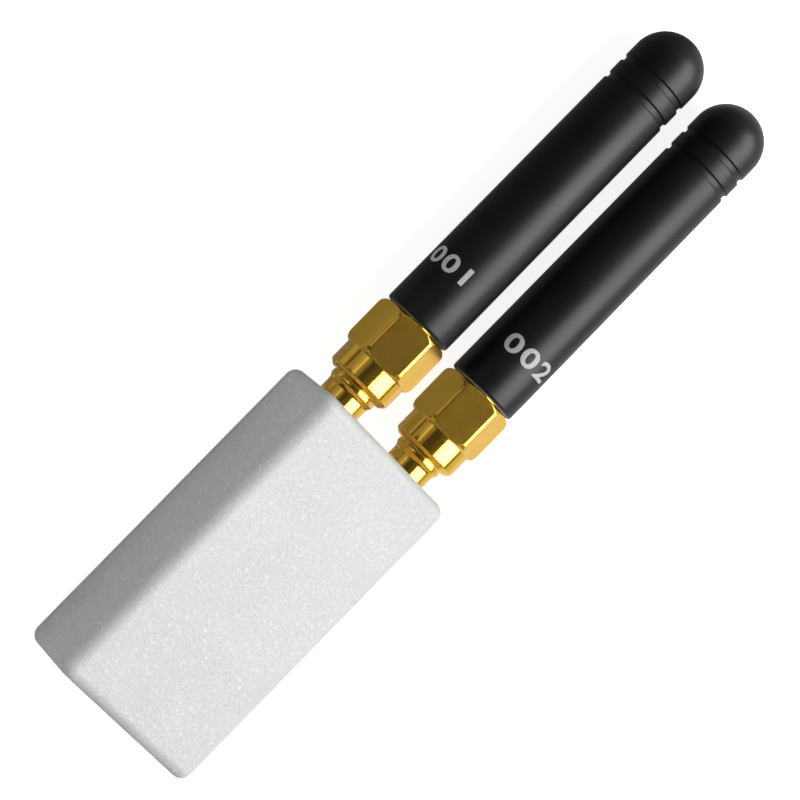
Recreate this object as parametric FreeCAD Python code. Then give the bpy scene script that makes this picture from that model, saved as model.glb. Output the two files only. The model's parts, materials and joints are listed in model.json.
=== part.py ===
# Dual-antenna radio receiver: a small moulded case with a circuit board, two coaxial
# jacks in one end, and a screw-on stub antenna on each jack.
#
# Frame: the origin is the middle of the case's back face, +X runs towards the antenna
# tips and +Z out of the front face. The 433 MHz antenna is on the +Y side.
import FreeCAD
import Part
import math
import os

V = FreeCAD.Vector

# Sizes of the case, in millimetres
case_l = 40.0
wall = 1.2
side_edge_r = 1.75
end_edge_r = 1.3
seam_z = 1.8
lip_h = 1.0
lip_t = 0.6
lip_gap = 0.1
rib_t = 0.8
rib_l = 1.4
rib_bite = 0.5
end_rib_inset = 1.2
hook_w = 4.0
hook_h = 2.1
hook_barb = 0.35
hook_barb_h = 0.7
hook_room = 0.1
hook_places = (-9.5, 9.5)

# Sizes of the space around the board
board_t = 1.2
board_corner_r = 1.0
under_board = 2.96
over_board = 5.44
board_side_gap = 0.3
board_end_gap = 0.3

# Sizes of the two coaxial jacks. Distances along X start at the case's end face.
antenna_pitch = 11.4
jack_flange_w = 6.0
jack_flange_t = 1.5
flange_side_gap = 0.3
flange_end_gap = 0.1
jack_leg_w = 0.95
jack_leg_l = 4.0
jack_leg_offset = 2.1
jack_neck_r = 2.63
jack_neck_l = 2.0
jack_cove_l = 0.45
jack_hole_gap = 0.15
thread_r = 3.175
thread_l = 5.55
socket_depth = 1.95
dielectric_r = 2.04
contact_wall = 0.14
contact_depth = 3.2
contact_tail_l = 3.2
slot_margin = 0.5
tab_gap = 0.1

# Sizes of the coupling nuts
nut_standoff = 2.68
nut_collar_r = 3.92
nut_collar_l = 2.87
nut_mouth_r = 3.45
nut_mouth_l = 0.55
hex_flats = 8.0
hex_l = 6.13
hex_front_r = 4.2
hex_front_l = 0.8
hex_rear_r = 3.8
hex_rear_l = 0.9
hex_face_angle = 24.0
nut_fit = 0.06
nut_shoulder_l = 1.7

# Sizes of the antenna plugs
pin_r = 0.46
pin_reach = 2.6
pin_fit = 0.04
mate_gap = 0.04
press_gap = 0.02
plug_sleeve_wall = 0.22
plug_shoulder_r = 2.9
plug_neck_r = 2.5
shoulder_gap = 0.3
ring_t = 0.4
ring_gap = 0.05
ring_split = 1.2
barrel_r = 2.95
barrel_gap = 0.07
barrel_l = 5.0
post_r = 1.73
post_l = 6.0

# Sizes of the antenna covers and the radiators inside them
antenna_reach = 53.87
cover_gap = 0.3
cover_r = 4.2
cover_base_edge = 0.35
cover_tip_wall = 2.4
tip_groove_places = (8.9, 6.45)
tip_groove_w = 1.1
tip_groove_floor = 0.55
tip_groove_d = 0.32
dome_steps = 5
coil_wire_r = 0.35
coil_pitch = 6.25
coil_turns = 4
coil_start_gap = 0.5
rod_r = 0.6
rod_l = 26.0

# Sizes of the parts on the board
shield_l = 8.5
shield_w = 7.0
shield_h = 2.2
shield_t = 0.2
shield_leg_gap = 0.8
shield_middle_gap = 1.2
radio_chip_w = 4.0
radio_chip_h = 0.9
controller_w = 7.0
controller_h = 1.0
crystal_l = 3.2
crystal_w = 2.5
crystal_h = 0.8
crystal_foot_h = 0.3
crystal_lid_inset = 0.2
regulator_l = 6.5
regulator_w = 2.6
regulator_h = 1.6
regulator_tab_w = 3.0
regulator_leg_w = 0.7
regulator_leg_t = 0.26
regulator_leg_l = 1.2
regulator_leg_pitch = 2.3
capacitor_l = 2.0
capacitor_w = 1.25
capacitor_h = 1.2
capacitor_pitch = 3.4
capacitor_count = 4
chip_side_gap = 0.6
chip_mark = 0.5
usb_w = 8.94
usb_h = 3.16
usb_l = 7.35
usb_t = 0.3
usb_tongue_w = 6.7
usb_tongue_t = 0.7
usb_tongue_set = 1.0
usb_base_l = 1.6
round_end_flat = 0.04
usb_end_gap = 0.1
usb_window_gap = 0.22

# Sizes that follow from the ones above
end_x = case_l / 2
inner_l = case_l - 2 * wall
inner_w = antenna_pitch + jack_flange_w + 2 * flange_side_gap
case_w = inner_w + 2 * wall
board_z = wall + under_board
board_top = board_z + board_t
case_h = board_top + over_board + wall
contact_r = pin_r + pin_fit + contact_wall
axis_z = board_top + contact_r
flange_x = end_x - wall - flange_end_gap
flange_back_x = flange_x - jack_flange_t
board_x1 = flange_back_x - press_gap
board_x0 = -end_x + wall + board_end_gap
board_w = inner_w - 2 * board_side_gap
jack_hole_r = jack_neck_r + jack_hole_gap
slot_half_w = jack_hole_r + slot_margin
thread_x0 = end_x + jack_neck_l + jack_cove_l
jack_end_x = thread_x0 + thread_l
jack_step_x = jack_end_x - socket_depth
mate_x = jack_step_x + mate_gap
sleeve_r = dielectric_r + press_gap + plug_sleeve_wall
socket_r = sleeve_r + nut_fit
shoulder_x = jack_end_x + shoulder_gap
nut_x0 = end_x + nut_standoff
hex_x0 = nut_x0 + nut_collar_l
nut_x1 = hex_x0 + hex_l
nut_step_x = nut_x1 - nut_shoulder_l
ring_x0 = nut_step_x - ring_gap - ring_t
neck_x = ring_x0 - ring_gap
barrel_x0 = nut_x1 + barrel_gap
barrel_x1 = barrel_x0 + barrel_l
cover_x0 = nut_x1 + cover_gap
post_x1 = barrel_x1 + post_l / 2
post_x0 = post_x1 - post_l
coil_x0 = barrel_x1 + coil_start_gap + coil_wire_r
coil_r = post_r + press_gap + coil_wire_r
tip_x = end_x + antenna_reach
dome_x = tip_x - cover_r
usb_x0 = -end_x + wall + usb_end_gap
usb_z = board_top + usb_h / 2
shield_x1 = flange_back_x - jack_leg_l - shield_leg_gap
shield_x0 = shield_x1 - shield_l
chip_row_l = capacitor_l + chip_side_gap + controller_w
capacitor_x0 = (usb_x0 + usb_l + shield_x0 - chip_row_l) / 2
chip_x = capacitor_x0 + capacitor_l + chip_side_gap + controller_w / 2
side_parts_y = controller_w / 2 + chip_side_gap
rib_places = (board_x0 + end_rib_inset, chip_x, shield_x0)
antennas = (("433", antenna_pitch / 2), ("2400", -antenna_pitch / 2))


def block(x0, x1, y0, y1, z0, z1):
    return Part.makeBox(x1 - x0, y1 - y0, z1 - z0, V(x0, y0, z0))


def rod_x(radius, x0, x1, y):
    return Part.makeCylinder(radius, x1 - x0, V(x0, y, axis_z), V(1, 0, 0))


def turned(outline, y):
    """A solid turned about an antenna's axis, from the (x, radius) points of its outline."""
    points = [V(x, y, axis_z + radius) for x, radius in outline]
    face = Part.Face(Part.makePolygon(points + points[:1]))
    return face.revolve(V(0, y, axis_z), V(1, 0, 0), 360)


def rounded_plate(x0, x1, y0, y1, z0, z1, radius):
    """A flat plate whose four upright corners are rounded."""
    plate = block(x0, x1, y0, y1, z0, z1)
    upright = [e for e in plate.Edges if abs(e.tangentAt(e.FirstParameter).z) > 0.9]
    return plate.makeFillet(radius, upright)


def rounded_bar(width, height, radius, x0, x1, y, z):
    """A bar along X with a rounded rectangular section centred on y and z."""
    bar = block(x0, x1, y - width / 2, y + width / 2, z - height / 2, z + height / 2)
    along = [e for e in bar.Edges if abs(e.tangentAt(e.FirstParameter).x) > 0.9]
    return bar.makeFillet(radius, along)


def union(first, others):
    return first.fuse(list(others)).removeSplitter()


def save(name, shape):
    shape.exportStep("parts/" + name + ".step")


def case_outside():
    """The whole case as one solid with softened edges."""
    bar = rounded_bar(case_w, case_h, side_edge_r, -end_x, end_x, 0, case_h / 2)
    ends = [e for e in bar.Edges if abs(abs(e.CenterOfMass.x) - end_x) < 0.001]
    return bar.makeFillet(end_edge_r, ends)


def case_slice(outside, z0, z1):
    return outside.common(block(-end_x, end_x, -case_w / 2, case_w / 2, z0, z1))


def jack_slot(y, half_w, hole_r):
    """The opening for a jack's neck: square below its axis and round above it."""
    x0 = end_x - wall - lip_gap
    x1 = end_x + wall
    square = block(x0, x1, y - half_w, y + half_w, 0, axis_z)
    return square.fuse(rod_x(hole_r, x0, x1, y))


def hook_catch(x, side, room):
    """A snap hook's barb, or with some room round it the pocket that the barb clicks into."""
    y = side * (inner_w / 2 - lip_gap)
    top = seam_z + hook_h + room
    low = top - hook_barb_h - 2 * room
    reach = y + side * (hook_barb + room)
    x0 = x - hook_w / 2 - room
    points = [V(x0, y, top), V(x0, reach, low), V(x0, y, low)]
    wedge = Part.Face(Part.makePolygon(points + points[:1]))
    return wedge.extrude(V(hook_w + 2 * room, 0, 0))


def clamp_rib(x, side, outer_y, z0, z1):
    """An upright rib in from a side wall, which holds the board by its edge."""
    y0, y1 = sorted((side * outer_y, side * (outer_y - rib_l)))
    return block(x - rib_t / 2, x + rib_t / 2, y0, y1, z0, z1)


def front_shell(outside):
    """The deep half of the case, with clamp ribs, hook pockets and the socket openings."""
    half_l = inner_l / 2
    inside_z = case_h - wall
    inner_edge_r = side_edge_r - wall
    cavity_h = case_h - 2 * wall
    cavity = rounded_bar(inner_w, cavity_h, inner_edge_r, -half_l, half_l, 0, case_h / 2)
    shell = case_slice(outside, seam_z, case_h).cut(cavity)
    rib_y = inner_w / 2 + rib_bite
    rib_top = inside_z + rib_bite
    ribs = [clamp_rib(x, side, rib_y, board_top, rib_top) for x in rib_places for side in (-1, 1)]
    shell = union(shell, ribs)
    for name, y in antennas:
        shell = shell.cut(jack_slot(y, slot_half_w, jack_hole_r))
    for x in hook_places:
        for side in (-1, 1):
            shell = shell.cut(hook_catch(x, side, hook_room))
    window_w = usb_w + 2 * usb_window_gap
    window_h = usb_h + 2 * usb_window_gap
    window_r = (window_h - round_end_flat) / 2
    window = rounded_bar(window_w, window_h, window_r, -end_x - wall, -half_l + wall, 0, usb_z)
    return shell.cut(window).removeSplitter()


def rear_cover(outside):
    """The shallow half: a lip inside the seam, snap hooks, board ribs and slot tabs."""
    cover = case_slice(outside, 0, seam_z)
    lip_x = inner_l / 2 - lip_gap
    lip_y = inner_w / 2 - lip_gap
    added = [block(-lip_x, lip_x, -lip_y, lip_y, wall, seam_z + lip_h)]
    for x in hook_places:
        for side in (-1, 1):
            y0, y1 = sorted((side * lip_y, side * (lip_y - lip_t)))
            added.append(block(x - hook_w / 2, x + hook_w / 2, y0, y1, wall, seam_z + hook_h))
            added.append(hook_catch(x, side, 0))
    for name, y in antennas:
        tab_half_w = slot_half_w - tab_gap
        tab = block(end_x - wall, end_x, y - tab_half_w, y + tab_half_w, end_edge_r,
                    axis_z - tab_gap)
        added.append(tab)
    cover = union(cover, added)
    pocket_x = lip_x - lip_t
    pocket_y = lip_y - lip_t
    cover = cover.cut(block(-pocket_x, pocket_x, -pocket_y, pocket_y, wall, axis_z))
    rib_y = lip_y - lip_t / 2
    ribs = [clamp_rib(x, side, rib_y, wall / 2, board_z) for x in rib_places for side in (-1, 1)]
    cover = union(cover, ribs)
    for name, y in antennas:
        cover = cover.cut(rod_x(jack_hole_r, end_x - wall - lip_t, end_x + wall, y))
    return cover.removeSplitter()


def main_board():
    half_w = board_w / 2
    return rounded_plate(board_x0, board_x1, -half_w, half_w, board_z, board_top, board_corner_r)


def shield_middle_y(side):
    return side * (shield_middle_gap + shield_w) / 2


def radio_shield(side):
    """A folded metal can that is open towards the board."""
    y0 = shield_middle_y(side) - shield_w / 2
    y1 = y0 + shield_w
    top = board_top + shield_h
    can = block(shield_x0, shield_x1, y0, y1, board_top, top)
    inside = block(shield_x0 + shield_t, shield_x1 - shield_t, y0 + shield_t, y1 - shield_t,
                   board_top, top - shield_t)
    return can.cut(inside)


def square_chip(x, y, width, height):
    """A flat square chip with its first corner cut off."""
    half = width / 2
    points = [V(x - half + chip_mark, y + half, board_top), V(x + half, y + half, board_top),
              V(x + half, y - half, board_top), V(x - half, y - half, board_top),
              V(x - half, y + half - chip_mark, board_top)]
    return Part.Face(Part.makePolygon(points + points[:1])).extrude(V(0, 0, height))


def crystal():
    """The controller's clock crystal: a ceramic foot under a smaller metal lid."""
    y0 = side_parts_y
    y1 = y0 + crystal_w
    x0 = chip_x - crystal_l / 2
    x1 = chip_x + crystal_l / 2
    foot_top = board_top + crystal_foot_h
    inset = crystal_lid_inset
    foot = block(x0, x1, y0, y1, board_top, foot_top)
    lid = block(x0 + inset, x1 - inset, y0 + inset, y1 - inset, foot_top, board_top + crystal_h)
    return union(foot, [lid])


def voltage_regulator():
    """The supply regulator: a body with a broad tab on one side and three legs on the other."""
    y1 = -side_parts_y
    y0 = y1 - regulator_w
    half_l = regulator_l / 2
    body = block(chip_x - half_l, chip_x + half_l, y0, y1,
                 board_top + regulator_leg_t / 2, board_top + regulator_h)
    feet = []
    half_tab = regulator_tab_w / 2
    leg_top = board_top + regulator_leg_t
    reach = regulator_leg_l / 2
    feet.append(block(chip_x - half_tab, chip_x + half_tab, y0 - reach, y0 + reach, board_top, leg_top))
    for step in (-1, 0, 1):
        x = chip_x + step * regulator_leg_pitch
        feet.append(block(x - regulator_leg_w / 2, x + regulator_leg_w / 2, y1 - reach, y1 + reach,
                          board_top, leg_top))
    return union(body, feet)


def capacitors():
    """A row of ceramic capacitors between the controller and the socket."""
    x0 = capacitor_x0
    first_y = -capacitor_pitch * (capacitor_count - 1) / 2
    row = []
    for index in range(capacitor_count):
        y0 = first_y + index * capacitor_pitch - capacitor_w / 2
        top = board_top + capacitor_h
        row.append(block(x0, x0 + capacitor_l, y0, y0 + capacitor_w, board_top, top))
    return Part.makeCompound(row)


def usb_shell():
    """The metal shell of the power and data socket, closed at its back."""
    outer_r = (usb_h - round_end_flat) / 2
    x1 = usb_x0 + usb_l
    outer = rounded_bar(usb_w, usb_h, outer_r, usb_x0, x1, 0, usb_z)
    room_w = usb_w - 2 * usb_t
    room_h = usb_h - 2 * usb_t
    room = rounded_bar(room_w, room_h, outer_r - usb_t, usb_x0, x1 - usb_t, 0, usb_z)
    return outer.cut(room)


def usb_tongue():
    """The contact tongue, with the moulded base at the back of the shell."""
    x1 = usb_x0 + usb_l - usb_t
    base_half_w = (usb_w - usb_h) / 2
    base_half_h = usb_h / 2 - usb_t
    base = block(x1 - usb_base_l, x1, -base_half_w, base_half_w,
                 usb_z - base_half_h, usb_z + base_half_h)
    half_w = usb_tongue_w / 2
    half_t = usb_tongue_t / 2
    tongue = block(usb_x0 + usb_tongue_set, x1 - usb_base_l / 2, -half_w, half_w,
                   usb_z - half_t, usb_z + half_t)
    return union(base, [tongue])


def jack_body(y):
    """The gold jack: flange, four board legs, smooth neck, cove and thread."""
    bore_r = dielectric_r + press_gap
    turning = turned([
        (flange_back_x, bore_r),
        (flange_back_x, jack_neck_r),
        (end_x + jack_neck_l, jack_neck_r),
        (thread_x0, thread_r),
        (jack_end_x, thread_r),
        (jack_end_x, socket_r),
        (jack_step_x, socket_r),
        (jack_step_x, bore_r),
    ], y)
    half = jack_flange_w / 2
    flange = block(flange_back_x, flange_x, y - half, y + half, axis_z - half, axis_z + half)
    legs = []
    for side in (-1, 1):
        for low in (board_top, board_z - jack_leg_w):
            leg_y = y + side * jack_leg_offset
            legs.append(block(flange_back_x - jack_leg_l, flange_back_x + jack_flange_t / 2,
                              leg_y - jack_leg_w / 2, leg_y + jack_leg_w / 2, low, low + jack_leg_w))
    return union(flange, [turning] + legs).cut(rod_x(bore_r, flange_back_x, flange_x, y))


def jack_insulator(y):
    """The white sleeve that centres the jack's contact."""
    hole_r = contact_r + press_gap
    sleeve = rod_x(dielectric_r, flange_back_x, jack_step_x, y)
    return sleeve.cut(rod_x(hole_r, flange_back_x, jack_step_x, y))


def jack_contact(y):
    """The jack's centre contact: a socket for the pin, and a tail that lies on the board."""
    body = rod_x(contact_r, flange_back_x - contact_tail_l, jack_step_x, y)
    return body.cut(rod_x(pin_r + pin_fit, jack_step_x - contact_depth, jack_step_x, y))


def coupling_nut(y):
    """The nut: a round collar, then a hexagon with turned ends, over a threaded bore."""
    corner_r = hex_flats / math.sqrt(3)
    blank = turned([
        (hex_x0, 0),
        (hex_x0, hex_front_r),
        (hex_x0 + hex_front_l, corner_r),
        (nut_x1 - hex_rear_l, corner_r),
        (nut_x1, hex_rear_r),
        (nut_x1, 0),
    ], y)
    corners = []
    for index in range(7):
        angle = math.radians(hex_face_angle + 30 + 60 * index)
        corners.append(V(hex_x0, y + corner_r * math.sin(angle), axis_z + corner_r * math.cos(angle)))
    prism = Part.Face(Part.makePolygon(corners)).extrude(V(hex_l, 0, 0))
    collar = turned([
        (nut_x0, 0),
        (nut_x0, nut_mouth_r),
        (nut_x0 + nut_mouth_l, nut_collar_r),
        (hex_x0 + hex_front_l, nut_collar_r),
        (hex_x0 + hex_front_l, 0),
    ], y)
    bore = rod_x(thread_r + nut_fit, nut_x0, nut_step_x, y)
    rear_bore = rod_x(plug_neck_r + nut_fit, nut_step_x, nut_x1, y)
    return union(blank.common(prism), [collar]).cut(bore).cut(rear_bore)


def plug_body(y):
    """The plug's outer conductor: sleeve, shoulder, neck for the nut, and barrel."""
    bore_r = dielectric_r + press_gap
    return turned([
        (mate_x, bore_r),
        (mate_x, sleeve_r),
        (shoulder_x, sleeve_r),
        (shoulder_x, plug_shoulder_r),
        (neck_x, plug_shoulder_r),
        (neck_x, plug_neck_r),
        (barrel_x0, plug_neck_r),
        (barrel_x0, barrel_r),
        (barrel_x1, barrel_r),
        (barrel_x1, bore_r),
    ], y)


def plug_insulator(y):
    sleeve = rod_x(dielectric_r, mate_x, post_x0, y)
    return sleeve.cut(rod_x(pin_r + press_gap, mate_x, post_x0, y))


def plug_pin(y):
    """The centre pin, with the post behind it that carries the radiator."""
    return turned([
        (mate_x - pin_reach, 0),
        (mate_x - pin_reach, pin_r),
        (post_x0, pin_r),
        (post_x0, post_r),
        (post_x1, post_r),
        (post_x1, 0),
    ], y)


def retaining_ring(y):
    """The split ring that lets the nut turn on the plug and pull it home."""
    x1 = ring_x0 + ring_t
    outer_r = thread_r
    ring = rod_x(outer_r, ring_x0, x1, y).cut(rod_x(plug_neck_r + press_gap, ring_x0, x1, y))
    split = block(ring_x0, x1, y - ring_split / 2, y + ring_split / 2, axis_z - outer_r, axis_z)
    return ring.cut(split)


def antenna_cover(y):
    """The black cover: a long sleeve with a domed tip, and two grooves near the tip."""
    outline = [
        (cover_x0, 0),
        (cover_x0, cover_r - cover_base_edge),
        (cover_x0 + cover_base_edge, cover_r),
    ]
    for place in tip_groove_places:
        middle = tip_x - place
        outline.append((middle - tip_groove_w / 2, cover_r))
        outline.append((middle - tip_groove_floor / 2, cover_r - tip_groove_d))
        outline.append((middle + tip_groove_floor / 2, cover_r - tip_groove_d))
        outline.append((middle + tip_groove_w / 2, cover_r))
    for step in range(dome_steps):
        angle = math.radians(90 * step / dome_steps)
        outline.append((dome_x + cover_r * math.sin(angle), cover_r * math.cos(angle)))
    outline.append((tip_x, 0))
    bore = rod_x(barrel_r + press_gap, cover_x0, tip_x - cover_tip_wall, y)
    return turned(outline, y).cut(bore)


def radiator_coil(y):
    """The 433 MHz radiator: a coil that starts round the plug's post."""
    helix = Part.makeHelix(coil_pitch, coil_pitch * coil_turns, coil_r)
    half = coil_wire_r * math.sqrt(0.5)
    corners = [V(coil_r - half, 0, -half), V(coil_r + half, 0, -half),
               V(coil_r + half, 0, half), V(coil_r - half, 0, half)]
    section = Part.makePolygon(corners + corners[:1])
    coil = Part.Wire(helix).makePipeShell([section], True, True)
    coil.rotate(V(0, 0, 0), V(0, 1, 0), 90)
    coil.translate(V(coil_x0, y, axis_z))
    return coil


def radiator_rod(y):
    """The 2400 MHz radiator: a quarter-wave rod that stands on the plug's post."""
    return rod_x(rod_r, post_x1, post_x1 + rod_l, y)


def main():
    os.makedirs("parts", exist_ok=True)
    outside = case_outside()
    save("front_shell", front_shell(outside))
    save("rear_cover", rear_cover(outside))
    save("main_board", main_board())
    save("radio_shield_433", radio_shield(1))
    save("radio_shield_2400", radio_shield(-1))
    chip_place_x = (shield_x0 + shield_x1) / 2
    save("radio_chip_433", square_chip(chip_place_x, shield_middle_y(1), radio_chip_w, radio_chip_h))
    save("radio_chip_2400", square_chip(chip_place_x, shield_middle_y(-1), radio_chip_w, radio_chip_h))
    save("controller_chip", square_chip(chip_x, 0, controller_w, controller_h))
    save("crystal", crystal())
    save("voltage_regulator", voltage_regulator())
    save("capacitors", capacitors())
    save("usb_shell", usb_shell())
    save("usb_tongue", usb_tongue())
    for name, y in antennas:
        save("jack_body_" + name, jack_body(y))
        save("jack_insulator_" + name, jack_insulator(y))
        save("jack_contact_" + name, jack_contact(y))
        save("coupling_nut_" + name, coupling_nut(y))
        save("plug_body_" + name, plug_body(y))
        save("plug_insulator_" + name, plug_insulator(y))
        save("plug_pin_" + name, plug_pin(y))
        save("retaining_ring_" + name, retaining_ring(y))
        save("antenna_cover_" + name, antenna_cover(y))
    save("radiator_433", radiator_coil(antennas[0][1]))
    save("radiator_2400", radiator_rod(antennas[1][1]))


main()
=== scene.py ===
import json
import math

import bmesh
import bpy
from mathutils import Matrix, Vector


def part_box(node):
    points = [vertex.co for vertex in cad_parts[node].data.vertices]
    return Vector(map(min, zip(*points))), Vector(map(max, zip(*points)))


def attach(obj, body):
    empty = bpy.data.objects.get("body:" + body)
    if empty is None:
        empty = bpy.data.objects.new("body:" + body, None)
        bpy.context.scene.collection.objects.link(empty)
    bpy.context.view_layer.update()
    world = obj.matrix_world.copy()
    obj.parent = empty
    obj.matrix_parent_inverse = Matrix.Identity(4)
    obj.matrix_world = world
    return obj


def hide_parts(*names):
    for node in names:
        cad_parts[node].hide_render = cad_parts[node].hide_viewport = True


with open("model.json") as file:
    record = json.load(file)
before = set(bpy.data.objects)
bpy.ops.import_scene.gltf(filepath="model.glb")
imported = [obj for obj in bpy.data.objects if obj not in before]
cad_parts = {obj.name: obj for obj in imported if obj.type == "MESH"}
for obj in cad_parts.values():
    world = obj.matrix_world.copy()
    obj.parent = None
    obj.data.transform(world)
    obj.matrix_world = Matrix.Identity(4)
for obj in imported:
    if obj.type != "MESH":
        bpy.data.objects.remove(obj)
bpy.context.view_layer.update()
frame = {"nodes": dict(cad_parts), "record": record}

# Lengths below are millimetres until a piece is finished.
MM = 0.001
BANDS = ("433", "2400")
THREAD_PITCH = 0.7056
CASE = ("front_shell", "rear_cover")


class Place:
    """Where a CAD node lies at rest, and the middle line along it."""

    def __init__(self, node):
        low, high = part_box(node)
        self.x0, self.y0, self.z0 = low / MM
        self.x1, self.y1, self.z1 = high / MM
        self.y = (self.y0 + self.y1) / 2
        self.z = (self.z0 + self.z1) / 2
        self.radius = (self.y1 - self.y0) / 2


# Node helpers
def fill_ramp(ramp, stops):
    """Set a colour ramp's marks, one by one in rising order."""
    marks = ramp.elements
    marks.remove(marks[1])
    marks[0].position = stops[0][0]
    marks[0].color = (*stops[0][1], 1.0)
    for place, colour in stops[1:]:
        marks.new(place).color = (*colour, 1.0)


class Nodes:
    """A material's node tree with short calls for adding and joining nodes."""

    def __init__(self, name):
        self.material = bpy.data.materials.new(name)
        self.material.use_nodes = True
        self.tree = self.material.node_tree
        self.tree.nodes.clear()
        self.out = self.add("ShaderNodeOutputMaterial")
        self.shader = self.add("ShaderNodeBsdfPrincipled")
        self.join(self.shader.outputs[0], self.out.inputs[0])
        self.place = self.add("ShaderNodeTexCoord").outputs["Object"]

    def add(self, kind, **settings):
        node = self.tree.nodes.new(kind)
        for key, value in settings.items():
            setattr(node, key, value)
        return node

    def join(self, a, b):
        self.tree.links.new(a, b)

    def set(self, **values):
        for key, value in values.items():
            self.shader.inputs[key.replace("_", " ")].default_value = value

    def feed(self, socket, name):
        self.join(socket, self.shader.inputs[name])

    def scaled(self, scale):
        node = self.add("ShaderNodeMapping")
        node.inputs["Scale"].default_value = scale
        self.join(self.place, node.inputs["Vector"])
        return node.outputs[0]

    def noise(self, scale, detail=3.0, rough=0.5, vector=None):
        node = self.add("ShaderNodeTexNoise")
        node.inputs["Scale"].default_value = scale
        node.inputs["Detail"].default_value = detail
        node.inputs["Roughness"].default_value = rough
        self.join(vector or self.place, node.inputs["Vector"])
        return node.outputs["Fac"]

    def ramp(self, source, *stops):
        node = self.add("ShaderNodeValToRGB")
        fill_ramp(node.color_ramp, stops)
        self.join(source, node.inputs[0])
        return node.outputs[0]

    def span(self, source, from_low, from_high, low, high):
        node = self.add("ShaderNodeMapRange")
        for index, value in enumerate((from_low, from_high, low, high), 1):
            node.inputs[index].default_value = value
        self.join(source, node.inputs[0])
        return node.outputs[0]

    def math(self, kind, a, b):
        node = self.add("ShaderNodeMath", operation=kind)
        for socket, value in zip(node.inputs, (a, b)):
            if isinstance(value, (int, float)):
                socket.default_value = value
            else:
                self.join(value, socket)
        return node.outputs[0]

    def multiply(self, a, b):
        node = self.add("ShaderNodeMix", data_type="RGBA", blend_type="MULTIPLY")
        node.inputs[0].default_value = 1.0
        self.join(a, node.inputs[6])
        self.join(b, node.inputs[7])
        return node.outputs[2]

    def bump(self, height, strength, distance):
        node = self.add("ShaderNodeBump")
        node.inputs["Strength"].default_value = strength
        node.inputs["Distance"].default_value = distance
        self.join(height, node.inputs["Height"])
        earlier = self.shader.inputs["Normal"].links
        if earlier:
            self.join(earlier[0].from_socket, node.inputs["Normal"])
        self.join(node.outputs[0], self.shader.inputs["Normal"])


# Materials
def white_plastic():
    """Moulded white plastic. Its fine grain catches the light in patches, and painted glints lighten the
    brightest specks of its colour.
    """
    n = Nodes("white_plastic")
    n.set(IOR=1.30)
    cloud = n.noise(150, 3.0, 0.55)
    grain = n.noise(2600, 3.0, 0.62)
    pits = n.noise(5600, 2.0, 0.5)
    tone = n.ramp(cloud, (0.35, (0.655, 0.678, 0.668)), (0.65, (0.677, 0.699, 0.687)))
    # Grain in the base colour: the darker specks are the plastic's own tone, and the brightest, lifted
    # above white, are painted glints.
    grain_and_painted_glints = n.ramp(grain, (0.28, (0.84, 0.84, 0.84)), (0.42, (0.98, 0.98, 0.98)),
                     (0.58, (1.0, 1.0, 1.0)), (0.70, (1.25, 1.25, 1.25)))
    n.feed(n.multiply(tone, grain_and_painted_glints), "Base Color")
    n.feed(n.span(grain, 0.3, 0.7, 0.44, 0.58), "Roughness")
    patches = n.span(n.noise(190, 2.0, 0.5), 0.38, 0.62, 0.25, 1.0)
    n.bump(n.math("MULTIPLY", grain, patches), 0.8, 0.00012)
    n.bump(pits, 0.35, 0.00002)
    return n.material


def black_plastic():
    """Satin black moulding with a very fine grain."""
    n = Nodes("black_plastic")
    n.set(IOR=1.32)
    cloud = n.noise(160, 3.0, 0.55)
    grain = n.noise(7000, 2.0, 0.6)
    n.feed(n.ramp(cloud, (0.3, (0.0034, 0.0037, 0.0045)), (0.7, (0.0050, 0.0054, 0.0064))),
           "Base Color")
    n.feed(n.span(cloud, 0.3, 0.7, 0.37, 0.43), "Roughness")
    n.bump(grain, 0.25, 0.000008)
    n.bump(n.noise(500, 2.0, 0.5), 0.15, 0.00003)
    return n.material


def gold(name, roughness):
    """Gold plating over machined brass, with fine lines round the axis and light wear."""
    n = Nodes(name)
    n.set(Metallic=1.0)
    cloud = n.noise(420, 3.0, 0.5)
    n.feed(n.ramp(cloud, (0.3, (0.875, 0.515, 0.064)), (0.7, (0.925, 0.550, 0.078))), "Base Color")
    lines = n.noise(1.0, 2.0, 0.6, n.scaled((9000, 60, 60)))
    wear = n.noise(1800, 3.0, 0.6)
    along = n.span(lines, 0.3, 0.7, -0.02, 0.02)
    worn = n.span(wear, 0.3, 0.7, roughness - 0.02, roughness + 0.03)
    n.feed(n.math("ADD", along, worn), "Roughness")
    n.bump(lines, 0.06, 0.000006)
    n.bump(wear, 0.02, 0.000008)
    return n.material


def plain_metal(name, low, high, roughness, scale=(900, 900, 900)):
    n = Nodes(name)
    n.set(Metallic=1.0)
    streak = n.noise(1.0, 4.0, 0.6, n.scaled(scale))
    n.feed(n.ramp(streak, (0.3, low), (0.7, high)), "Base Color")
    n.feed(n.span(streak, 0.3, 0.7, roughness - 0.05, roughness + 0.07), "Roughness")
    n.bump(streak, 0.12, 0.00001)
    return n.material


def inner_plastic(name, low, high, roughness, grain_scale):
    n = Nodes(name)
    cloud = n.noise(grain_scale / 8, 3.0, 0.5)
    grain = n.noise(grain_scale, 2.0, 0.6)
    n.feed(n.ramp(cloud, (0.3, low), (0.7, high)), "Base Color")
    n.feed(n.span(grain, 0.3, 0.7, roughness - 0.05, roughness + 0.08), "Roughness")
    n.bump(grain, 0.2, 0.00001)
    return n.material


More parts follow.
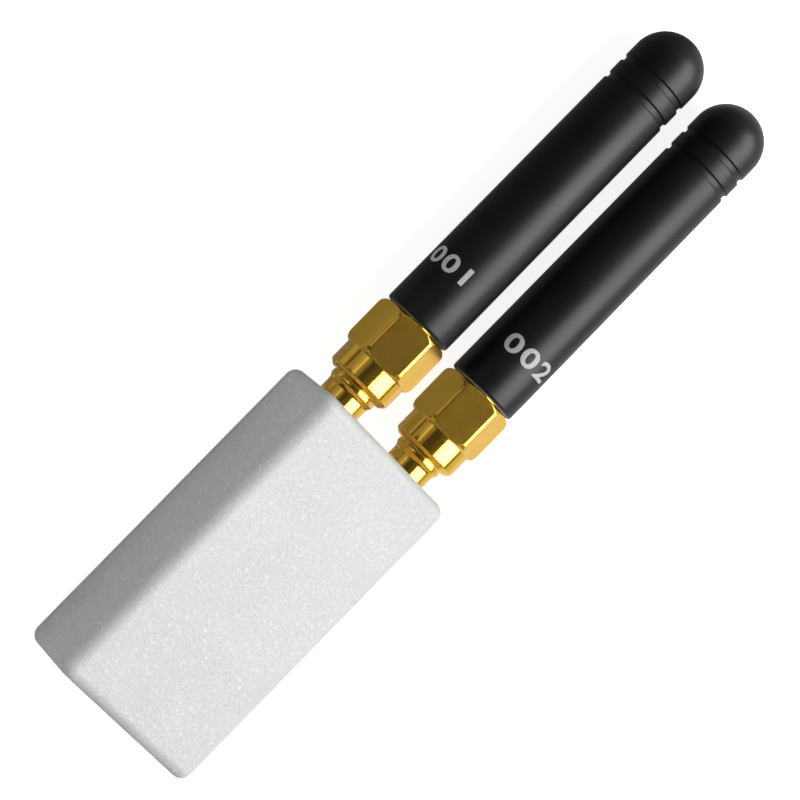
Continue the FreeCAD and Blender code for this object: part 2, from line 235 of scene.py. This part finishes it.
def board_green():
    """Solder mask over tracks: lighter lines where copper lies under the green."""
    n = Nodes("board_green")
    n.set(IOR=1.5)
    tracks = n.add("ShaderNodeTexBrick", offset=0.5, squash=1.0)
    tracks.inputs["Scale"].default_value = 420.0
    tracks.inputs["Mortar Size"].default_value = 0.12
    tracks.inputs["Color1"].default_value = (0.012, 0.075, 0.030, 1.0)
    tracks.inputs["Color2"].default_value = (0.014, 0.085, 0.034, 1.0)
    tracks.inputs["Mortar"].default_value = (0.030, 0.150, 0.060, 1.0)
    n.join(n.place, tracks.inputs["Vector"])
    shade = n.ramp(n.noise(600), (0.3, (1.0, 1.0, 1.0)), (0.7, (0.78, 0.78, 0.80)))
    n.feed(n.multiply(tracks.outputs["Color"], shade), "Base Color")
    n.feed(n.span(n.noise(2400), 0.3, 0.7, 0.26, 0.38), "Roughness")
    n.bump(tracks.outputs["Fac"], 0.3, 0.00003)
    return n.material


def print_ink():
    """Light grey ink, slightly uneven."""
    n = Nodes("print_ink")
    n.set(IOR=1.35)
    speck = n.noise(6000, 2.0, 0.6)
    n.feed(n.ramp(speck, (0.3, (0.45, 0.46, 0.47)), (0.7, (0.54, 0.55, 0.56))), "Base Color")
    n.feed(n.span(speck, 0.3, 0.7, 0.45, 0.6), "Roughness")
    n.bump(speck, 0.2, 0.00001)
    return n.material


# Mesh helpers
def finish_piece(name, bm, material, body, node=None, slot=None, sharp=35.0):
    """Turn a bmesh in millimetres into a piece in metres that rides on its body.

    Gold doesn't show in gloss, so it mirrors the cards and the room and not its neighbours."""
    bmesh.ops.remove_doubles(bm, verts=bm.verts, dist=0.0005)
    bmesh.ops.recalc_face_normals(bm, faces=bm.faces)
    mesh = bpy.data.meshes.new(name)
    bm.to_mesh(mesh)
    bm.free()
    mesh.transform(Matrix.Scale(MM, 4))
    for polygon in mesh.polygons:
        polygon.use_smooth = True
    mesh.set_sharp_from_angle(angle=math.radians(sharp))
    mesh.materials.append(material)
    piece = bpy.data.objects.new(name, mesh)
    bpy.context.scene.collection.objects.link(piece)
    if node:
        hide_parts(node)
    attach(piece, body)
    piece.visible_glossy = slot != "gold_brass"
    return piece


def round_trip(rings, y, z, steps=96):
    """Skin rings of (x, radius) about an axis, the last ring joined to the first.

    A ring is a pair of numbers, or a function that gives the pair for an angle from +Z."""
    bm = bmesh.new()
    angles = [2 * math.pi * k / steps for k in range(steps)] if isinstance(steps, int) else steps
    rows = []
    for ring in rings:
        row = []
        for angle in angles:
            x, radius = ring(angle) if callable(ring) else ring
            row.append(bm.verts.new((x, y + radius * math.sin(angle), z + radius * math.cos(angle))))
        rows.append(row)
    count = len(angles)
    for a, b in zip(rows, rows[1:] + rows[:1]):
        for k in range(count):
            m = (k + 1) % count
            bm.faces.new((a[k], a[m], b[m], b[k]))
    return bm


def eased(outline, reaches, steps=5):
    """Round corners of an outline. reaches gives, for a point's index, how far the round goes."""
    result = []
    count = len(outline)
    for i, point in enumerate(outline):
        if i not in reaches:
            result.append(point)
            continue
        p = Vector(point)
        before = Vector(outline[(i - 1) % count]) - p
        after = Vector(outline[(i + 1) % count]) - p
        a = p + before.normalized() * min(reaches[i], before.length * 0.48)
        b = p + after.normalized() * min(reaches[i], after.length * 0.48)
        for k in range(steps + 1):
            t = k / steps
            q = a * (1 - t) ** 2 + p * 2 * t * (1 - t) + b * t ** 2
            result.append((q.x, q.y))
    return result


def thread_rings(x0, x1, crest, root, rows_per_turn=14):
    """Rings of a right-handed thread between x0 and x1, which fades out over half a turn."""
    def ring(x):
        fade = min(1.0, (x - x0) / THREAD_PITCH * 2, (x1 - x) / THREAD_PITCH * 2)

        def at(angle):
            turn = (x / THREAD_PITCH + angle / (2 * math.pi)) % 1.0
            wave = abs(turn - 0.5) * 2
            height = min(1.0, max(0.0, (wave - 0.2) / 0.6))
            return x, root + (crest - root) * height * fade
        return at

    count = round((x1 - x0) / THREAD_PITCH * rows_per_turn)
    return [ring(x0 + (x1 - x0) * k / count) for k in range(count + 1)]


# Pieces
def antenna_cover(band, material):
    """The black cover, with its eased base edge, slight taper, two grooves and dome."""
    place = Place("antenna_cover_" + band)
    barrel = Place("plug_body_" + band)
    base_reach, taper, straight_l = 0.12, 0.07, 4.0
    base_x = place.x0 - base_reach
    base_r = place.radius
    tip_r = base_r - taper
    dome_x = place.x1 - tip_r
    bore_r, bore_end = 2.97, place.x1 - 2.4
    groove_places = (8.72, 6.24)
    groove_back, groove_front, groove_d, slope = 0.44, 0.43, 0.25, 0.12
    dome_steps = 24

    def side(x):
        return base_r + (tip_r - base_r) * (x - base_x) / (dome_x - base_x)

    outline = [(base_x, bore_r), (base_x, base_r), (base_x + straight_l, side(base_x + straight_l))]
    reaches = {1: 0.36}
    for back in groove_places:
        middle = place.x1 - back
        x0, x1 = middle - groove_back, middle + groove_front
        first = len(outline)
        outline += [(x0, side(x0)), (x0 + slope, side(x0) - groove_d),
                    (x1 - slope, side(x1) - groove_d), (x1, side(x1))]
        reaches.update({first: 0.05, first + 1: 0.04, first + 2: 0.03, first + 3: 0.05})
    outline.append((dome_x, tip_r))
    for k in range(1, dome_steps):
        angle = math.radians(90 * k / dome_steps)
        outline.append((dome_x + tip_r * math.sin(angle), tip_r * math.cos(angle)))
    outline += [(place.x1, 0.0), (bore_end, 0.0), (bore_end, bore_r)]
    bm = round_trip(eased(outline, reaches), barrel.y, barrel.z, 128)
    finish_piece("cover_" + band, bm, material, "antenna_" + band, "antenna_cover_" + band,
                 "cover_plastic", sharp=28.0)


def hexagon_radius(angle, flats, edge_r):
    """Distance from the axis to a hexagon with rounded edges, at an angle from a face's middle."""
    corner = math.pi / 6
    sector = abs((angle + corner) % (2 * corner) - corner)
    inner = flats / 2 - edge_r
    if sector <= math.atan2(inner * math.tan(corner), flats / 2):
        return flats / 2 / math.cos(sector)
    centre = inner / math.cos(corner)
    off = corner - sector
    return centre * math.cos(off) + math.sqrt(edge_r ** 2 - (centre * math.sin(off)) ** 2)


def coupling_nut(band, turned, milled):
    """The nut: threaded mouth, turned collar, and hexagon with turned ends and eased edges."""
    place = Place("coupling_nut_" + band)
    jack = Place("jack_insulator_" + band)
    x0, x1 = place.x0, place.x1
    hex_x0 = x0 + 2.87
    flats, edge_r, face_angle = 8.0, 0.45, math.radians(22.0)
    collar_r = 3.92
    top_r = (flats / 2 - edge_r) / math.cos(math.pi / 6) + edge_r + 0.012
    front_x, front_r, front_l = hex_x0 + 0.16, 3.945, 1.05
    rear_r, rear_l = 3.70, 0.95
    ease = 0.07
    mouth_r, thread_r, crest_r = 3.30, 3.235, 3.03
    shoulder_x, ring_r, rear_bore_r = x1 - 1.70, 3.2, 2.56

    corner = math.pi / 6
    flat_end = math.atan2((flats / 2 - edge_r) * math.tan(corner), flats / 2)
    angles = []
    for face in range(6):
        middle = face_angle + face * 2 * corner
        angles += [middle + flat_end * k / 8 for k in range(-8, 9)]
        angles += [middle + flat_end + (corner - flat_end) * 2 * k / 8 for k in range(1, 8)]

    def limit(angle):
        return hexagon_radius(angle - face_angle, flats, edge_r)

    def turned_end(r, front):
        """Where the turned round of an end has a given radius, as a quarter of an ellipse."""
        low, length = (front_r, front_l) if front else (rear_r, rear_l)
        rise = min(1.0, max(0.0, (r - low) / (top_r - low)))
        back = length * (1 - math.sqrt(1 - rise ** 2))
        return front_x + back if front else x1 - back

    def round_row(share, front):
        """A point on an end's round, from its rim (0) to just short of the hexagon (1)."""
        def at(angle):
            low = front_r if front else rear_r
            r = low + (limit(angle) - ease - low) * share
            return turned_end(r, front), r
        return at

    def edge_row(t, front):
        """A point on the eased edge where an end's round meets the hexagon."""
        def at(angle):
            r = limit(angle)
            step = ease if front else -ease
            a = Vector((turned_end(r - ease, front), r - ease))
            middle = Vector((turned_end(r, front), r))
            b = Vector((middle.x + step, r))
            q = a * (1 - t) ** 2 + middle * 2 * t * (1 - t) + b * t ** 2
            return q.x, q.y
        return at

    collar = [(x0 + 0.02, mouth_r + 0.06), (x0 + 0.06, 3.45), (x0 + 0.38, 3.80), (x0 + 0.44, 3.86),
              (x0 + 0.50, 3.90), (x0 + 0.58, collar_r), (hex_x0 - 0.10, collar_r),
              (hex_x0 - 0.02, collar_r + 0.008), (front_x - 0.04, front_r - 0.012)]
    front = [round_row(k / 5, True) for k in range(5)] + [edge_row(k / 4, True) for k in range(5)]
    rear = [edge_row(k / 4, False) for k in range(4, -1, -1)]
    rear += [round_row(k / 7, False) for k in range(6, -1, -1)]
    tail = [(x1, rear_r - 0.08), (x1, rear_bore_r)]
    inside = [(shoulder_x, rear_bore_r), (shoulder_x, ring_r), (shoulder_x - 0.3, thread_r)]
    thread = list(reversed(thread_rings(x0 + 0.45, shoulder_x - 0.4, crest_r, thread_r)))
    mouth = [(x0 + 0.35, thread_r), (x0 + 0.05, mouth_r)]
    bm = round_trip(collar + front + rear + tail + inside + thread + mouth, jack.y, jack.z, angles)
    nut = finish_piece("nut_" + band, bm, turned, "nut_" + band, "coupling_nut_" + band,
                       "gold_brass", sharp=50.0)
    nut.data.materials.append(milled)
    for polygon in nut.data.polygons:
        x = polygon.center.x / MM
        out = math.hypot(polygon.center.y / MM - jack.y, polygon.center.z / MM - jack.z)
        if front_x + 0.03 < x < x1 - 0.03 and out > front_r:
            polygon.material_index = 1
    nut.modifiers.new("flat_faces", "WEIGHTED_NORMAL").keep_sharp = True


def jack_body(band, material):
    """The gold jack: neck, lip and thread, with its flange and board legs."""
    place = Place("jack_body_" + band)
    sleeve = Place("jack_insulator_" + band)
    end = Place("front_shell").x1
    y, z = sleeve.y, sleeve.z
    flange_back, flange_front, flange_half = end - 2.8, end - 1.3, 3.0
    bore_r, mouth_bore_r, mouth_bore_l = 2.06, 2.34, 1.95
    neck_r, lip_r, lip_x = 2.63, 2.90, end + 1.95
    root_r, crest_r = 2.82, 3.175
    outline = [(flange_back, bore_r), (flange_back, neck_r), (lip_x - 0.62, neck_r),
               (lip_x - 0.34, neck_r + 0.03), (lip_x - 0.16, neck_r + 0.12), (lip_x - 0.06, lip_r - 0.10),
               (lip_x, lip_r - 0.03), (lip_x + 0.08, lip_r), (lip_x + 0.52, lip_r),
               (lip_x + 0.58, lip_r - 0.03), (lip_x + 0.62, root_r)]
    x1 = place.x1
    outline += thread_rings(lip_x + 0.66, x1 - 0.25, crest_r, root_r)
    outline += [(x1 - 0.15, root_r + 0.02), (x1, root_r - 0.12), (x1, mouth_bore_r),
                (x1 - mouth_bore_l, mouth_bore_r), (x1 - mouth_bore_l, bore_r)]
    bm = round_trip(outline, y, z, 96)
    plate(bm, flange_back, flange_front, y, z, flange_half, bore_r + 0.4)
    leg, leg_end, leg_out, leg_low = 0.95, flange_back + 0.8, 2.1, (5.36, 3.21)
    for side in (-1, 1):
        for low in leg_low:
            leg_y = y + side * leg_out
            bar(bm, place.x0, leg_end, leg_y - leg / 2, leg_y + leg / 2, low, low + leg, 0.05)
    finish_piece("jack_" + band, bm, material, "receiver", "jack_body_" + band, "gold_brass",
                 sharp=38.0)


def add_solid(bm, made):
    bmesh.ops.recalc_face_normals(made, faces=made.faces)
    scratch = bpy.data.meshes.new("scratch")
    made.to_mesh(scratch)
    made.free()
    bm.from_mesh(scratch)
    bpy.data.meshes.remove(scratch)


def bar(bm, x0, x1, y0, y1, z0, z1, edge):
    """A bar with eased edges."""
    made = bmesh.new()
    bmesh.ops.create_cube(made, size=1.0)
    for v in made.verts:
        v.co = ((x0 + x1) / 2 + v.co.x * (x1 - x0), (y0 + y1) / 2 + v.co.y * (y1 - y0),
                (z0 + z1) / 2 + v.co.z * (z1 - z0))
    bmesh.ops.bevel(made, geom=list(made.edges), offset=edge, segments=2, affect="EDGES",
                    profile=0.5)
    add_solid(bm, made)


def plate(bm, x0, x1, y, z, half, hole_r, steps=48):
    """A square plate across the X axis, with a round hole."""
    made = bmesh.new()
    loops = []
    for x, radius in ((x0, None), (x1, None), (x1, hole_r), (x0, hole_r)):
        loop = []
        for k in range(steps):
            angle = 2 * math.pi * (k + 0.5) / steps
            s, c = math.sin(angle), math.cos(angle)
            reach = radius or half / max(abs(s), abs(c))
            loop.append(made.verts.new((x, y + reach * s, z + reach * c)))
        loops.append(loop)
    for a, b in zip(loops, loops[1:] + loops[:1]):
        for k in range(steps):
            m = (k + 1) % steps
            made.faces.new((a[k], a[m], b[m], b[k]))
    add_solid(bm, made)


def number_on_cover(text, band, material, x0, middle, height, stretch):
    """A plain number printed round a cover. The digits stand along +X, their row across it.

    x0 is where the digits' feet stand, middle the row's middle in degrees from +Z, and stretch
    widens the digits."""
    place = Place("antenna_cover_" + band)
    surface, thickness, sink, strip = place.radius - 0.012, 0.02, 0.04, 0.12
    digit_share, bolder, spacing = 0.72, 0.07, 1.15
    curve = bpy.data.curves.new("print_" + band, "FONT")
    curve.body = text
    curve.size = height / digit_share
    curve.align_x = "CENTER"
    curve.offset = bolder
    curve.space_character = spacing
    source = bpy.data.objects.new("print_source", curve)
    bpy.context.scene.collection.objects.link(source)
    bpy.context.view_layer.update()
    mesh = bpy.data.meshes.new_from_object(source)
    bpy.data.objects.remove(source)
    bm = bmesh.new()
    bm.from_mesh(mesh)
    bpy.data.meshes.remove(mesh)
    for v in bm.verts:
        v.co.x *= stretch
    bmesh.ops.dissolve_limit(bm, angle_limit=0.01, verts=bm.verts, edges=bm.edges)
    cut = min(v.co.x for v in bm.verts)
    high = max(v.co.x for v in bm.verts)
    while cut < high:
        bmesh.ops.bisect_plane(bm, geom=bm.verts[:] + bm.edges[:] + bm.faces[:],
                               plane_co=(cut, 0, 0), plane_no=(1, 0, 0))
        cut += strip
    bmesh.ops.triangulate(bm, faces=bm.faces)
    top = surface + thickness
    for v in bm.verts:
        angle = math.radians(middle) - v.co.x / surface
        v.co = (x0 + v.co.y, place.y + top * math.sin(angle), place.z + top * math.cos(angle))
    extra = bmesh.ops.extrude_face_region(bm, geom=bm.faces[:])
    for v in (g for g in extra["geom"] if isinstance(g, bmesh.types.BMVert)):
        v.co.y = place.y + (v.co.y - place.y) * (surface - sink) / top
        v.co.z = place.z + (v.co.z - place.z) * (surface - sink) / top
    finish_piece("print_" + band, bm, material, "antenna_" + band, None, "insulator", sharp=40.0)


def dress_nodes(materials):
    """Give every CAD node that still shows its material and smooth shading.

    The front shell's edges are broken, which draws the seam as a fine line."""
    slots = {part["node"]: part["material_slot"] for part in frame["record"]["subparts"]}
    for name, obj in frame["nodes"].items():
        material = materials[slots[name]]
        obj.visible_glossy = name in CASE
        obj.data.materials.clear()
        obj.data.materials.append(material)
        for polygon in obj.data.polygons:
            polygon.use_smooth = True
            polygon.material_index = 0
        weld = obj.modifiers.new("weld", "WELD")
        weld.merge_threshold = 0.000002
        if name == "front_shell":
            bevel = obj.modifiers.new("edge_break", "BEVEL")
            bevel.width = 0.00012
            bevel.segments = 2
            bevel.use_clamp_overlap = False
            bevel.limit_method = "ANGLE"
            bevel.angle_limit = math.radians(50)
        split = obj.modifiers.new("edges", "EDGE_SPLIT")
        split.split_angle = math.radians(32)
        if name in CASE:
            obj.modifiers.new("normals", "WEIGHTED_NORMAL").keep_sharp = True


# Floor and light
def pale_floor():
    """A pale floor that looks white and still takes the object's shadow."""
    n = Nodes("floor_white")
    n.tree.nodes.remove(n.shader)
    soft = n.add("ShaderNodeBsdfDiffuse")
    n.join(n.ramp(n.noise(3.0), (0.3, (0.77, 0.77, 0.77)), (0.7, (0.79, 0.79, 0.79))),
           soft.inputs[0])
    glow = n.add("ShaderNodeEmission")
    path = n.add("ShaderNodeLightPath")
    seen = n.math("MAXIMUM", path.outputs["Is Camera Ray"], path.outputs["Is Transmission Ray"])
    mirrored = n.math("MULTIPLY", path.outputs["Is Glossy Ray"], 0.1)
    away = n.add("ShaderNodeVectorMath", operation="LENGTH")
    n.join(n.place, away.inputs[0])
    near, far, near_level = 0.15, 0.6, 0.84
    level = n.span(away.outputs["Value"], near, far, near_level, 1.0)
    n.join(n.math("MULTIPLY", n.math("ADD", seen, mirrored), level), glow.inputs["Strength"])
    both = n.add("ShaderNodeAddShader")
    n.join(soft.outputs[0], both.inputs[0])
    n.join(glow.outputs[0], both.inputs[1])
    n.join(both.outputs[0], n.out.inputs[0])
    bpy.ops.mesh.primitive_plane_add(size=6.0, location=(0, 0, -0.05 * MM))
    floor = bpy.context.object
    floor.name = "floor"
    floor.data.materials.append(n.material)


def card(name, x0, x1, degrees, distance, *stops):
    """A card that only gloss can see, square to a line from the origin.

    degrees is that line's angle from straight up, positive towards the first antenna. Each stop
    gives a place across the card and the brightness there."""
    y0, y1 = stops[0][0], stops[-1][0]
    n = Nodes(name)
    n.tree.nodes.remove(n.shader)
    glow = n.add("ShaderNodeEmission")
    across = n.add("ShaderNodeSeparateXYZ")
    n.join(n.place, across.inputs[0])
    share = n.span(across.outputs["Y"], y0 * MM, y1 * MM, 0.0, 1.0)
    steps = [((y - y0) / (y1 - y0), (level, level, level)) for y, level in stops]
    n.join(n.ramp(share, *steps), glow.inputs["Color"])
    n.join(glow.outputs[0], n.out.inputs[0])
    mesh = bpy.data.meshes.new(name)
    corners = [(x * MM, y * MM, 0.0) for x, y in ((x0, y0), (x1, y0), (x1, y1), (x0, y1))]
    mesh.from_pydata(corners, [], [(0, 1, 2, 3)])
    mesh.materials.append(n.material)
    shape = bpy.data.objects.new(name, mesh)
    bpy.context.scene.collection.objects.link(shape)
    angle = math.radians(degrees)
    shape.location = (0.0, distance * MM * math.sin(angle), distance * MM * math.cos(angle))
    shape.rotation_euler.x = -angle
    shape.visible_camera = False
    shape.visible_diffuse = False
    shape.visible_transmission = False
    shape.visible_shadow = False


def cards():
    """Cards beside the metal and the covers, on the floor and at the side."""
    metal_x, cover_x, far = Place("front_shell").x1 + 0.5, 36.0, 300.0
    floor_gap = 0.2
    card("card_nuts", metal_x, cover_x, 0.0, floor_gap, (-1.0, 0.30), (1.9, 0.30), (2.2, 0.24),
         (17.2, 0.24), (18.0, 0.40), (34.0, 0.40), (40.0, 0.13), (far, 0.13))
    card("card_covers", cover_x, far, 0.0, floor_gap, (-1.0, 0.24), (20.0, 0.20), (40.0, 0.12),
         (far, 0.08))
    card("card_case", -far, metal_x, 0.0, floor_gap, (12.0, 0.25), (far, 0.22))
    card("card_side", 14.0, 44.0, 67.0, 70.0, (-35.0, 0.06), (-31.0, 0.20), (-20.0, 0.25),
         (-13.0, 0.50), (-11.5, 0.95), (-9.3, 0.95), (-8.0, 0.50), (5.0, 0.40), (9.0, 0.34),
         (21.5, 0.30))
    card("card_key", -75.0, 800.0, -28.0, 499.0, (-285.0, 4.0), (-150.0, 9.5), (100.0, 9.5),
         (245.0, 4.5))


def room():
    """Light from all round: bands of brightness that run along the object, white to the camera."""
    world = bpy.data.worlds.new("studio")
    bpy.context.scene.world = world
    world.use_nodes = True
    tree = world.node_tree
    tree.nodes.clear()

    def add(kind, **settings):
        node = tree.nodes.new(kind)
        for key, value in settings.items():
            setattr(node, key, value)
        return node

    out = add("ShaderNodeOutputWorld")
    back = add("ShaderNodeBackground")
    tree.links.new(back.outputs[0], out.inputs[0])
    where = add("ShaderNodeTexCoord")
    split = add("ShaderNodeSeparateXYZ")
    tree.links.new(where.outputs["Generated"], split.inputs[0])
    turn = add("ShaderNodeMath", operation="ARCTAN2")
    tree.links.new(split.outputs["Y"], turn.inputs[0])
    tree.links.new(split.outputs["Z"], turn.inputs[1])
    span = add("ShaderNodeMapRange")
    for index, value in enumerate((-math.pi, math.pi, 0.0, 1.0), 1):
        span.inputs[index].default_value = value
    tree.links.new(turn.outputs[0], span.inputs[0])
    ramp = add("ShaderNodeValToRGB")
    tree.links.new(span.outputs[0], ramp.inputs[0])
    # Degrees from straight up, positive towards the first antenna, and the brightness there
    stops = ((-180, 0.8), (-98, 0.8), (-72, 0.75), (-67, 0.22), (-58, 0.22), (-5, 0.20), (-1, 0.10),
             (20, 0.10), (25, 0.06), (180, 0.06))
    fill_ramp(ramp.color_ramp, [((degrees + 180) / 360, (level,) * 3) for degrees, level in stops])
    path = add("ShaderNodeLightPath")
    ends = add("ShaderNodeMath", operation="ABSOLUTE")
    tree.links.new(split.outputs["X"], ends.inputs[0])
    towards_ends = add("ShaderNodeMapRange", interpolation_type="SMOOTHSTEP")
    for index, value in enumerate((0.55, 0.95, 0.0, 1.0), 1):
        towards_ends.inputs[index].default_value = value
    tree.links.new(ends.outputs[0], towards_ends.inputs[0])

    def blended(factor, a, b):
        node = add("ShaderNodeMix", data_type="RGBA")
        tree.links.new(factor, node.inputs[0])
        for socket, value in ((node.inputs[6], a), (node.inputs[7], b)):
            if isinstance(value, float):
                socket.default_value = (value, value, value, 1.0)
            else:
                tree.links.new(value, socket)
        return node.outputs[2]

    bands = blended(towards_ends.outputs[0], ramp.outputs[0], 0.6)
    light = blended(path.outputs["Is Glossy Ray"], 0.11, bands)
    seen = blended(path.outputs["Is Camera Ray"], light, 1.0)
    tree.links.new(seen, back.inputs["Color"])
    back.inputs["Strength"].default_value = 1.0


def softbox(name, degrees, distance, length, width, radiance, x):
    """A lamp that shines square to the antennas. Gloss sees the cards in its place."""
    data = bpy.data.lights.new(name, "AREA")
    data.shape = "RECTANGLE"
    data.size = length
    data.size_y = width
    data.energy = radiance * math.pi * width * length
    lamp = bpy.data.objects.new(name, data)
    bpy.context.scene.collection.objects.link(lamp)
    lamp.visible_glossy = False
    angle = math.radians(degrees)
    lamp.location = (x, distance * math.sin(angle), distance * math.cos(angle))
    lamp.rotation_euler = (Vector((x, 0, 0)) - lamp.location).to_track_quat("-Z", "Y").to_euler()


def camera():
    """The photograph's view: turn, tilt and roll about the middle of the case's end."""
    width_px, focal_px, px_per_mm = 800, 3708.0, 9.43
    shift_x, shift_y = -3.102, -4.067
    turn, tilt, roll = math.radians(28.4), math.radians(3.79), math.radians(45.62 - 90.0)
    case = Place("front_shell")
    aim = Vector((case.x1, case.y, Place("jack_body_433").z))
    axes = Matrix(((0, 1, 0), (-math.cos(turn), 0, math.sin(turn)), (math.sin(turn), 0, math.cos(turn))))
    to_camera = Matrix.Rotation(roll, 3, "Z") @ Matrix.Rotation(-tilt, 3, "X") @ axes.transposed()
    to_object = to_camera.transposed()
    place = to_object @ Vector((-shift_x, -shift_y, focal_px / px_per_mm)) + aim
    data = bpy.data.cameras.new("camera")
    data.sensor_fit = "HORIZONTAL"
    data.sensor_width = 36.0
    data.lens = focal_px / width_px * data.sensor_width
    data.clip_start = 0.01
    data.clip_end = 20.0
    view = bpy.data.objects.new("camera", data)
    bpy.context.scene.collection.objects.link(view)
    view.matrix_world = Matrix.Translation(place * MM) @ to_object.to_4x4()
    bpy.context.scene.camera = view


def build():
    black = black_plastic()
    turned, milled = gold("gold_turned", 0.10), gold("gold_milled", 0.20)
    materials = {
        "case_plastic": white_plastic(),
        "cover_plastic": black,
        "gold_brass": turned,
        "plain_brass": plain_metal("plain_brass", (0.66, 0.44, 0.17), (0.78, 0.55, 0.25), 0.3),
        "insulator": inner_plastic("insulator", (0.80, 0.80, 0.78), (0.86, 0.86, 0.84), 0.35, 3000),
        "board": board_green(),
        "shield_metal": plain_metal("tinned", (0.58, 0.58, 0.56), (0.68, 0.68, 0.66), 0.32,
                                    (300, 2400, 2400)),
        "spring_metal": plain_metal("spring_metal", (0.42, 0.40, 0.36), (0.55, 0.53, 0.48), 0.3),
        "chip": inner_plastic("chip_black", (0.018, 0.018, 0.019), (0.030, 0.030, 0.031), 0.55, 7000),
        "capacitor": inner_plastic("ceramic", (0.40, 0.28, 0.17), (0.50, 0.36, 0.23), 0.45, 5000),
    }
    dress_nodes(materials)
    ink = print_ink()
    for band in BANDS:
        antenna_cover(band, black)
        coupling_nut(band, turned, milled)
        jack_body(band, turned)
    number_on_cover("001", "433", ink, x0=37.66, middle=54.0, height=2.05, stretch=1.35)
    number_on_cover("002", "2400", ink, x0=36.80, middle=12.0, height=2.15, stretch=1.40)


build()
bpy.context.scene.view_settings.view_transform = "Standard"
pale_floor()
room()
softbox("key", degrees=-28, distance=0.5, length=0.40, width=0.49, radiance=4.6, x=0.125)
softbox("fill", degrees=40, distance=0.8, length=0.5, width=0.5, radiance=1.2, x=0.03)
cards()
camera()
